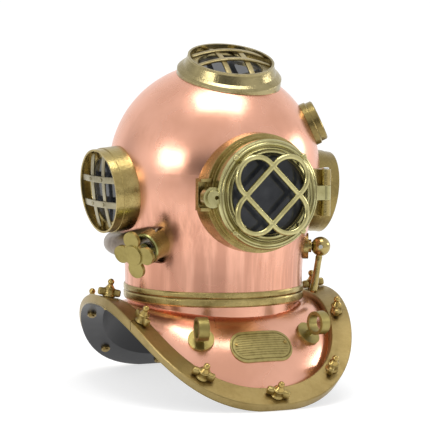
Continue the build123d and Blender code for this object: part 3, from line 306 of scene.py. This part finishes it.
stud_angles = np.radians([0, 30, 60.5, 90, 119.5, 150, 180, 210, 240.5, 270, 299.5, 330])
wing_turns = np.radians([75, 10, -12, 20, 8, -10, 80, -8, 12, -25, 6, -10])
strap_width = 0.030
strap_height = 0.0519
strap_wave = 0.05815
strap_ripple = 0.0054
strap_slope = 20
slope_wave = 24
slope_ripple = 6.5
hub_profile = np.array([(3.7, 12.3), (7.6, 12.3), (8.1, 12.8), (8.1, 13.6), (7.2, 14.4), (6.7, 16.5),
                        (6.7, 20.5), (7.3, 22.4), (7.7, 23.2), (7.3, 23.9), (3.7, 23.9),
                        (3.7, 12.3)]) / 1000
wing_reach = 0.0098
wing_height = 0.0183
wing_half_sizes = (0.0052, 0.0040, 0.0050)
wing_squareness = 0.55


def strap_middle(angle, share=0.5):
    """Point under the strap at a share of its width. In plan the rim is an oval, on which the sum of
    width and depth shares, each to a power, is 1. Its height and slope have two and four waves."""
    across = (np.abs(np.cos(angle)) / rim_half_width) ** rim_power
    along = (np.abs(np.sin(angle)) / rim_half_depth) ** rim_power
    radius = (across + along) ** (-1 / rim_power)
    twofold = 2 * (radius * np.abs(np.cos(angle)) / rim_half_width) ** rim_power - 1
    fourfold = 2 * twofold ** 2 - 1
    height = strap_height + strap_wave * twofold + strap_ripple * fourfold
    slope = np.radians(strap_slope - slope_wave * twofold - slope_ripple * fourfold)
    radius = radius - strap_width * share * np.cos(slope)
    height = height + strap_width * share * np.sin(slope)
    return np.stack([radius * np.cos(angle), radius * np.sin(angle), height], -1)


def stud_frames(step=0.01):
    """Foot, run along the rim, direction across it and up the stud, for all twelve studs. Up is
    square to the run, taken from a step to both sides, and to the line down the strap's width."""
    foot = strap_middle(stud_angles)
    run = strap_middle(stud_angles + step) - strap_middle(stud_angles - step)
    down = strap_middle(stud_angles, 0) - strap_middle(stud_angles, 1)
    up = np.cross(down, run)
    up /= np.linalg.norm(up, axis=-1, keepdims=True)
    run /= np.linalg.norm(run, axis=-1, keepdims=True)
    return foot, run, np.cross(up, run), up


def grid_faces(rows, columns, start=0, closed=True):
    """Each point of a grid joined to its neighbours in the next column and row, as quads of indices
    from the start. The last column joins the first if the grid is closed."""
    i, j = np.meshgrid(np.arange(rows - 1), np.arange(columns if closed else columns - 1), indexing="ij")
    k = (j + 1) % columns
    return start + np.stack([i * columns + j, i * columns + k, (i + 1) * columns + k,
                             (i + 1) * columns + j], -1).reshape(-1, 4)


def mesh_piece(name, parts, finish, body):
    """Puts grids of points into one mesh. Each part is a rows by columns by 3 array, closed around
    its columns. A first or last row that isn't one point is filled with one face."""
    points = []
    faces = []
    start = 0
    for grid in parts:
        rows, columns = grid.shape[:2]
        points.append(grid.reshape(-1, 3))
        faces.extend(grid_faces(rows, columns, start).tolist())
        for row, flip in ((0, True), (rows - 1, False)):
            edge = start + row * columns + np.arange(columns)
            if np.ptp(grid[row], axis=0).max() > 1e-7:
                faces.append((edge[::-1] if flip else edge).tolist())
        start += rows * columns
    mesh = bpy.data.meshes.new(name)
    mesh.from_pydata(np.concatenate(points).tolist(), [], faces)
    mesh.polygons.foreach_set("use_smooth", np.full(len(mesh.polygons), True))
    mesh.materials.append(finish.material)
    piece = bpy.data.objects.new(name, mesh)
    bpy.context.scene.collection.objects.link(piece)
    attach(piece, body)
    return piece


def turned_grid(profile, columns=40):
    """Surface of revolution about z from (radius, height) pairs."""
    profile = np.array(profile)
    turn = np.linspace(0, 2 * np.pi, columns, endpoint=False)
    return np.stack([profile[:, :1] * np.cos(turn), profile[:, :1] * np.sin(turn),
                     np.broadcast_to(profile[:, 1:], (len(profile), columns))], -1)


def signed_power(values, power):
    """The size of each value raised to a power, with the value's own sign."""
    return np.sign(values) * np.abs(values) ** power


def block_grid(centre, half, squareness, rows=18, columns=28):
    """Rounded block: a ball whose sines and cosines are raised to a power below one."""
    lat = np.linspace(-np.pi / 2, np.pi / 2, rows)[:, None]
    lon = np.linspace(0, 2 * np.pi, columns, endpoint=False)[None, :]
    girth = signed_power(np.cos(lat), squareness)
    x = girth * signed_power(np.cos(lon), squareness)
    y = girth * signed_power(np.sin(lon), squareness)
    z = signed_power(np.sin(lat), squareness) * np.ones_like(lon)
    return np.stack([x, y, z], -1) * np.array(half) + np.array(centre)


nut_grids = [turned_grid(hub_profile)]
for end in (-1, 1):
    nut_grids.append(block_grid((end * wing_reach, 0, wing_height), wing_half_sizes, wing_squareness))
nut_parts = []
for foot, run, side, up, turn in zip(*stud_frames(), wing_turns):
    along = run * np.cos(turn) + side * np.sin(turn)
    basis = np.stack([along, np.cross(up, along), up])
    nut_parts.extend(grid @ basis + foot for grid in nut_grids)
nut_brass = brass("nut_brass", (0.42, 0.32, 0.12), (0.24, 0.17, 0.055), 0.27, age=0.7, edge=0.0,
                  scale=60.0)
wing_nuts = mesh_piece("cast_wing_nuts", nut_parts, nut_brass, "breastplate")
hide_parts("wing_nuts")


# Side port guards. Two flat brass strips run level over two upright ones, all bowed outward
# and let into the rim, riveted where they cross and dull from handling.

bar_reach = 0.0483
bar_offset = 0.016
bar_fall = 0.0050
level_bar_crown = 0.0026
upright_bar_crown = 0.0001
rivet_lift = 0.0032
rivet_profile = [(0.0001, 0.0), (0.0024, 0.0), (0.0023, 0.0008), (0.0014, 0.0015), (0.0001, 0.0017)]
side_ports = (("right_port", (-0.1619, 0, 0.2614), 184.0, 6.0),
              ("left_port", (0.1565, -0.008, 0.2545), -5.0, 8.0))


def strip_grid(centre, along, across, out, half_span, offset, crown, fall, width=0.0042, thick=0.00125):
    """Flat bar on a parabola that falls from its crown to both ends. Its section is an oval of half
    width and half thickness whose cosine and sine are raised to powers below one."""
    run_at = np.linspace(-half_span, half_span, 33)
    turn = np.linspace(0, 2 * np.pi, 20, endpoint=False)
    rise = crown - fall * (run_at / half_span) ** 2
    side = width * signed_power(np.cos(turn), 0.35)
    lift = thick * signed_power(np.sin(turn), 0.5)
    return (np.array(centre) + run_at[:, None, None] * along + (offset + side)[None, :, None] * across
            + (rise[:, None] + lift)[..., None] * out)


side_guard_brass = brass("side_guard_brass", (0.40, 0.36, 0.24), (0.22, 0.19, 0.11), 0.3, age=0.6,
                         edge=0.0)
rivet = turned_grid(rivet_profile, 16)
for port, centre, turn, drop in side_ports:
    turn, drop = np.radians(turn), np.radians(drop)
    out = np.array([np.cos(turn) * np.cos(drop), np.sin(turn) * np.cos(drop), -np.sin(drop)])
    level = np.array([-np.sin(turn), np.cos(turn), 0.0])
    upright = np.cross(out, level)
    bars = []
    for side in (-1, 1):
        for along, across, crown in ((level, upright, level_bar_crown),
                                     (upright, level, upright_bar_crown)):
            bars.append(strip_grid(centre, along, across, out, bar_reach, side * bar_offset, crown,
                                   bar_fall))
        for other in (-1, 1):
            crossing = np.array(centre) + level * side * bar_offset + upright * other * bar_offset
            bars.append(rivet @ np.stack([level, upright, out]) + (crossing + out * rivet_lift))
    guard = mesh_piece(port + "_bars", bars, side_guard_brass, "bonnet")
    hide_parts(port + "_guard")


# Spitcock handle. A brass ball on the spindle's end with a round lever that hangs from it,
# leaning in towards the bonnet and a little thicker at its tip, cast in one and polished.

cock_turn = np.radians(-25.5)
cock_lean = np.radians(8.5)
cock_height = 0.1865
ball_distance = 0.1408
ball_radius = 0.0128
ball_turns = np.linspace(0.02, np.pi - 0.30, 22)
ball_profile = np.stack([ball_radius * np.sin(ball_turns), -ball_radius * np.cos(ball_turns)], -1)
lever_profile = [(0.0046, 0.0135), (0.0043, 0.020), (0.0044, 0.034), (0.0049, 0.050), (0.0052, 0.058),
                 (0.0050, 0.0605), (0.0033, 0.0620), (0.0001, 0.0623)]
cock_out = np.array([np.cos(cock_turn), np.sin(cock_turn), 0.0])
cock_side = np.array([-np.sin(cock_turn), np.cos(cock_turn), 0.0])
lever_way = -cock_out * np.sin(cock_lean) + np.array([0.0, 0.0, -np.cos(cock_lean)])
lever_basis = np.stack([cock_side, np.cross(lever_way, cock_side), lever_way])
handle = turned_grid(np.concatenate([ball_profile, lever_profile]), 32) @ lever_basis
handle = handle + np.array([0.0, 0.0, cock_height]) + cock_out * ball_distance
lever_piece = mesh_piece("cast_spitcock_handle", [handle], cock_brass, "spitcock_handle")
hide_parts("spitcock_lever")


# Top port guard. Four broad brass strips, two across two, spring from the seat inside the rim
# and arch over the glass, standing a little above the rim at their crowns.

top_centre = (0.004, -0.041, 0.432)
top_turn = np.radians(264.0)
top_tilt = np.radians(20.4)
top_bar_reach = 0.0492
top_bar_offset = 0.0155
top_bar_fall = 0.0100
top_level_crown = 0.0058
top_upright_crown = 0.0034
top_out = np.array([np.sin(top_tilt) * np.cos(top_turn), np.sin(top_tilt) * np.sin(top_turn),
                    np.cos(top_tilt)])
top_level = np.array([-np.sin(top_turn), np.cos(top_turn), 0.0])
top_upright = np.cross(top_out, top_level)
top_bars = []
for side in (-1, 1):
    for along, across, crown in ((top_level, top_upright, top_level_crown),
                                 (top_upright, top_level, top_upright_crown)):
        top_bars.append(strip_grid(top_centre, along, across, top_out, top_bar_reach,
                                   side * top_bar_offset, crown, top_bar_fall, width=0.0036, thick=0.0016))
top_bar_brass = brass("top_bar_brass", (0.46, 0.38, 0.19), (0.25, 0.19, 0.07), 0.26, age=0.6, edge=0.0)
top_guard = mesh_piece("top_port_bars", top_bars, top_bar_brass, "bonnet")
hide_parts("top_port_guard")


# Exhaust duct. A hood of sheet bronze, open at both ends, soft-soldered to the bonnet: round and
# high where it takes in the valve's body, low and narrow on its way back to the mouth.

duct_turns = np.radians(np.linspace(213.0, 122.0, 56))
valve_shares = np.interp(duct_turns, np.radians([122.0, 168.0, 182.0, 203.0, 213.0]),
                         [0, 0, 0.2, 0.86, 1.0])
duct_half_heights = 0.0152 + 0.0090 * valve_shares
duct_depths = 0.0255 - 0.0055 * valve_shares
duct_middles = 0.1900 + 0.0072 * valve_shares
duct_across = np.linspace(0.0, np.pi, 30)
duct_wall_radius = 0.1192
duct_sheet = 0.0016
depth_power = 0.8
height_power = 0.9


def duct_skin(inset):
    """Half a rounded oval standing on the bonnet's wall, its height and depth eased along the
    turn: radius = wall + depth sin, height = centre + half height cos, both to a power."""
    out = np.abs(np.sin(duct_across)) ** depth_power
    rise = signed_power(np.cos(duct_across), height_power)
    radius = duct_wall_radius + (duct_depths - inset)[:, None] * out[None, :]
    height = duct_middles[:, None] + (duct_half_heights - inset)[:, None] * rise[None, :]
    return np.stack([radius * np.cos(duct_turns)[:, None], radius * np.sin(duct_turns)[:, None],
                     height], -1)


duct_bronze = brass("duct_bronze", (0.30, 0.245, 0.19), (0.17, 0.13, 0.10), 0.30)
duct_loop = np.concatenate([duct_skin(0.0), duct_skin(duct_sheet)[:, ::-1]], axis=1)
duct = mesh_piece("duct_hood", [duct_loop], duct_bronze, "bonnet")
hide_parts("exhaust_duct")


# Stud caps. A turned brass ball on a cone screws down on each stud over its wing nut and closes
# it. The balls are rubbed bright by the hand, the cones stay browner.

cap_brass = brass("cap_brass", (0.50, 0.36, 0.12), (0.28, 0.19, 0.06), 0.2)
cap_brass.dress("stud_caps")


# Name plate. An oblong of thin brass with round ends, bent to the chest and held by two
# rivets. It is bare: an engraved border and plain rule lines, darkened with age.

plate_centre_height = 0.0736
plate_centre_forward = 0.1491
plate_fall = np.radians(51.3)
core_half_length = 0.022
border_radius = 0.0178
border_half_width = 0.0008
ruled_radius = 0.0150
rule_turns_per_metre = 1900.0
plate_pale = (0.42, 0.345, 0.135)
plate_grime = (0.17, 0.13, 0.045)
plate = Finish("engraved_plate", Metallic=1.0, Roughness=0.34)
plate_x, plate_y, plate_z = plate.split(plate.place)
down_plate = (plate_z - plate_centre_height) * float(np.sin(plate_fall)) + (
    plate_y + plate_centre_forward) * float(np.cos(plate_fall))
past_core = (abs(plate_x) - core_half_length).maths("MAXIMUM", 0.0)
from_core = (past_core * past_core + down_plate * down_plate).maths("SQRT")
off_border = abs(from_core - border_radius) > border_half_width
ruled = 1 - (from_core > ruled_radius)
rules = (down_plate * rule_turns_per_metre).maths("SINE") > 0.35
cut = (1 - off_border) + ruled * rules * 0.7
grime = plate.noise(160.0, 4.0, 0.6)
dark_share = (cut * 0.75 + grime.ramp(0.35, 0.7) * 0.35).maths("MINIMUM", 1.0)
plate.feed("Base Color", plate.mix(dark_share, plate_pale, plate_grime))
plate.feed("Roughness", 0.3 + cut * 0.2 + grime * 0.1)
plate.relief(1 - cut, distance=0.0004, edge=0.0004)
plate.dress("name_plate")
cap_brass.dress("plate_rivets")


# Studio. A pale paper floor runs up into a backdrop. Three soft boxes light the helmet from above,
# left and right, in a grey room whose walls are dimmer behind the camera.

floor_reach = 6
bend_start = 2.6
bend_radius = 1.5
bend_turns = np.linspace(0.1, np.pi / 2, 12)
backdrop_heights = np.linspace(1.8, 5, 6)
view_turn = np.radians(-24.35)
front_way = (-0.656, -0.755)
near_paper = (0.42, 0.42, 0.42)
shaded_far_paper = (0.22, 0.22, 0.22)
near_glow = (1.0, 1.0, 1.0)
shaded_far_glow = (0.55, 0.55, 0.55)
run_length = np.concatenate([np.linspace(-floor_reach, bend_start, 12),
                             bend_start + bend_radius * np.sin(bend_turns),
                             np.full(len(backdrop_heights), bend_start + bend_radius)])
climb = np.concatenate([np.zeros(12), bend_radius - bend_radius * np.cos(bend_turns), backdrop_heights])
sideways = np.linspace(-floor_reach, floor_reach, 9)
run_grid, side_grid = np.meshgrid(run_length, sideways, indexing="ij")
climb_grid = np.broadcast_to(climb[:, None], run_grid.shape)
floor_points = np.stack([side_grid * np.cos(view_turn) - run_grid * np.sin(view_turn),
                         side_grid * np.sin(view_turn) + run_grid * np.cos(view_turn), climb_grid], -1)
floor_faces = grid_faces(len(run_length), len(sideways), closed=False)
floor_mesh = bpy.data.meshes.new("studio_floor")
floor_mesh.from_pydata(floor_points.reshape(-1, 3).tolist(), [], floor_faces.tolist())
floor_mesh.polygons.foreach_set("use_smooth", np.full(len(floor_mesh.polygons), True))
floor = bpy.data.objects.new("studio_floor", floor_mesh)
bpy.context.scene.collection.objects.link(floor)
paper = Finish("floor_paper", Roughness=0.95, Emission_Strength=0.66, Specular_IOR_Level=0.0)
paper_x, paper_y, _ = paper.split(paper.place)
# Painted shade: far out in front of the helmet, behind the camera, the paper is darker and glows less, for
# a dimmer studio there. Everywhere the paper glows, painted light that keeps it white and lightens the
# helmet's shadow on it.
front_shade_share = (paper_x * front_way[0] + paper_y * front_way[1]).ramp(0.40, 1.30)
paper.feed("Base Color", paper.mix(front_shade_share, near_paper, shaded_far_paper))
paper.feed("Emission Color", paper.mix(front_shade_share, near_glow, shaded_far_glow))
floor_mesh.materials.append(paper.material)

helmet_middle = Vector((0, 0, 0.28))
across_picture = Vector((0.911, -0.412, 0))


def softbox(name, place, width, height, radiance):
    """Oblong area light that looks at the helmet, its longer side level. Its power is its radiance
    times pi times its area."""
    lamp = bpy.data.lights.new(name, "AREA")
    lamp.shape = "RECTANGLE"
    lamp.size = width
    lamp.size_y = height
    lamp.energy = radiance * np.pi * width * height
    box = bpy.data.objects.new(name, lamp)
    box.location = place
    back = (Vector(place) - helmet_middle).normalized()
    level = across_picture if back.z > 0.9 else Vector((0, 0, 1)).cross(back)
    level = (level - back * level.dot(back)).normalized()
    box.rotation_euler = Matrix((level, back.cross(level), back)).transposed().to_euler()
    bpy.context.scene.collection.objects.link(box)


softbox("overhead_box", (-0.03, -0.39, 2.3), 1.4, 0.8, 6.0)
softbox("left_box", (-2.15, -0.77, 0.76), 1.0, 0.65, 6.0)
softbox("right_box", (2.0, -0.40, 0.76), 0.8, 0.35, 8.0)
room = Finish("studio_room", "worlds", "Background", "Generated", Strength=1.0)
room_x, room_y, room_z = room.split(room.place)
level_length = (room_x * room_x + room_y * room_y).maths("SQRT")


def towards(turn):
    """Cosine of the angle in plan between a direction in the room and a turn in degrees."""
    turn = np.radians(turn)
    return (room_x * float(np.cos(turn)) + room_y * float(np.sin(turn))) / level_length


horizon = 0.52 - towards(238.0).ramp(0.55, 0.95) * 0.36
for lit_turn, lit_from in ((295.0, 0.80), (168.0, 0.90)):
    horizon = horizon + towards(lit_turn).ramp(lit_from, 0.98) * 0.45
low = 1 - room_z.ramp(0.12, 0.5)
room.feed("Color", horizon * low + (1 - low) * 0.82)
bpy.context.scene.world = room.material

camera_data = bpy.data.cameras.new("camera")
camera_data.lens = 168.74
camera_data.sensor_width = 36.0
camera = bpy.data.objects.new("camera", camera_data)
camera_place = (-1.088294, -2.408471, 0.451979)
camera_right = (0.911328, -0.411597, 0.008307)
camera_up = (0.02745, 0.080886, 0.996345)
camera_back = (-0.410764, -0.90777, 0.085012)
camera.matrix_world = Matrix.Translation(camera_place) @ Matrix(
    (camera_right, camera_up, camera_back)).transposed().to_4x4()
bpy.context.scene.collection.objects.link(camera)
bpy.context.scene.camera = camera
bpy.context.scene.view_settings.view_transform = "Standard"
